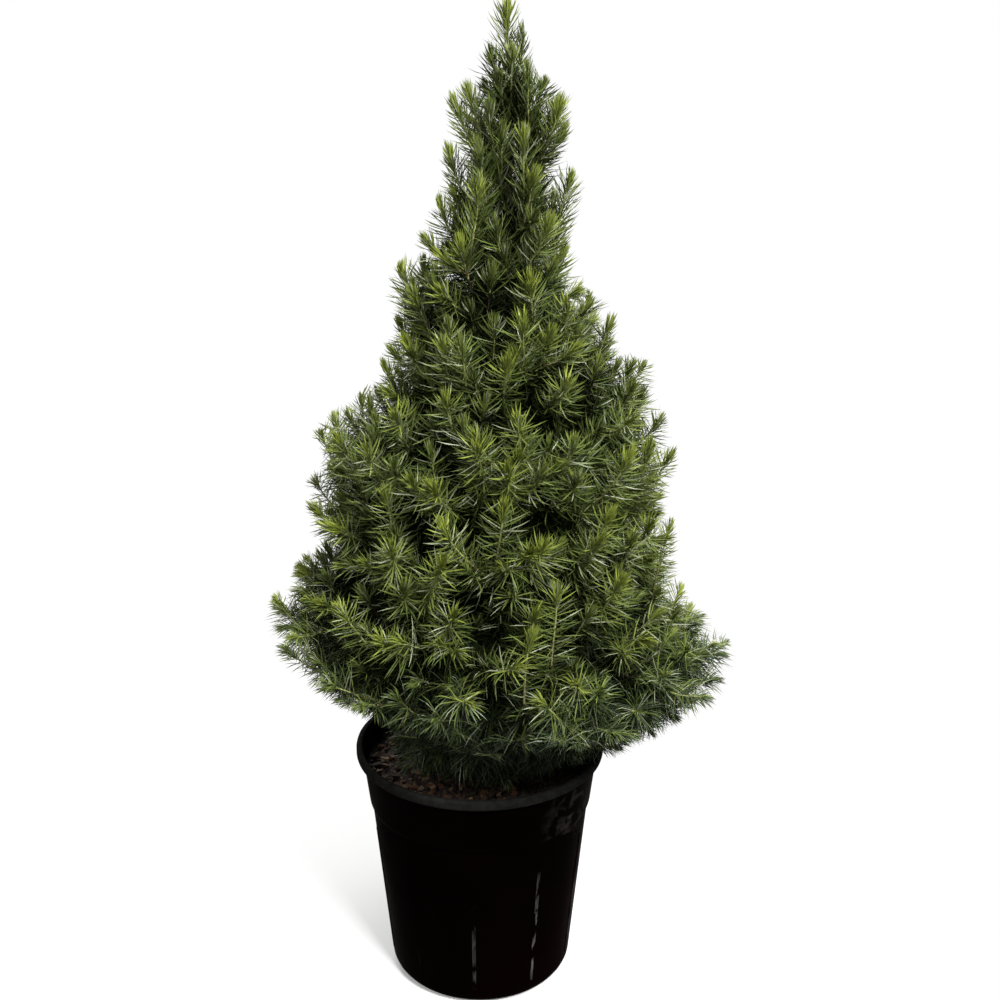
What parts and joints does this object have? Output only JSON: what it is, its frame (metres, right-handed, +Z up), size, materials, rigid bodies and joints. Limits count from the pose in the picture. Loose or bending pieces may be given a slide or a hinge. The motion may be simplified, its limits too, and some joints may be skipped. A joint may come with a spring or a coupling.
{
  "type": "potted dwarf spruce",
  "caption": "Young conical dwarf spruce, dense with short needles from just above the potting mix to its tip, in a round black plastic nursery pot.",
  "frame": {"origin": "centre of the pot's flat underside, on its turning axis", "axes": "+Z up along the pot's axis, -Y towards the viewer at the front, +X to the viewer's right"},
  "size_m": [0.3154, 0.2796, 0.627],
  "materials": {
    "pot_plastic": "satin black, lightly scuffed",
    "potting_mix": "rough, bark chips",
    "bark": "rough orange-brown bark",
    "needles": "matte green needles"
  },
  "bodies": {
    "root": {"bough_low_1": "bark", "bough_low_2": "bark", "bough_low_3": "bark", "bough_low_4": "bark", "bough_low_5": "bark", "bough_low_6": "bark", "bough_middle_1": "bark", "bough_middle_2": "bark", "bough_middle_3": "bark", "bough_middle_4": "bark", "bough_middle_5": "bark", "bough_skirt_1": "bark", "bough_skirt_2": "bark", "bough_skirt_3": "bark", "bough_skirt_4": "bark", "bough_waist_1": "bark", "bough_waist_2": "bark", "bough_waist_3": "bark", "bough_waist_4": "bark", "bough_waist_5": "bark", "foliage_crest_1": "needles", "foliage_crest_2": "needles", "foliage_crest_3": "needles", "foliage_high_1": "needles", "foliage_high_2": "needles", "foliage_high_3": "needles", "foliage_high_4": "needles", "foliage_leader": "needles", "foliage_low_1": "needles", "foliage_low_2": "needles", "foliage_low_3": "needles", "foliage_low_4": "needles", "foliage_low_5": "needles", "foliage_low_6": "needles", "foliage_middle_1": "needles", "foliage_middle_2": "needles", "foliage_middle_3": "needles", "foliage_middle_4": "needles", "foliage_middle_5": "needles", "foliage_shoulder_1": "needles", "foliage_shoulder_2": "needles", "foliage_shoulder_3": "needles", "foliage_skirt_1": "needles", "foliage_skirt_2": "needles", "foliage_skirt_3": "needles", "foliage_skirt_4": "needles", "foliage_spire_1": "needles", "foliage_spire_2": "needles", "foliage_upper_1": "needles", "foliage_upper_2": "needles", "foliage_upper_3": "needles", "foliage_upper_4": "needles", "foliage_waist_1": "needles", "foliage_waist_2": "needles", "foliage_waist_3": "needles", "foliage_waist_4": "needles", "foliage_waist_5": "needles", "nursery_pot": "pot_plastic", "potting_soil": "potting_mix", "trunk": "bark"}
  },
  "joints": []
}
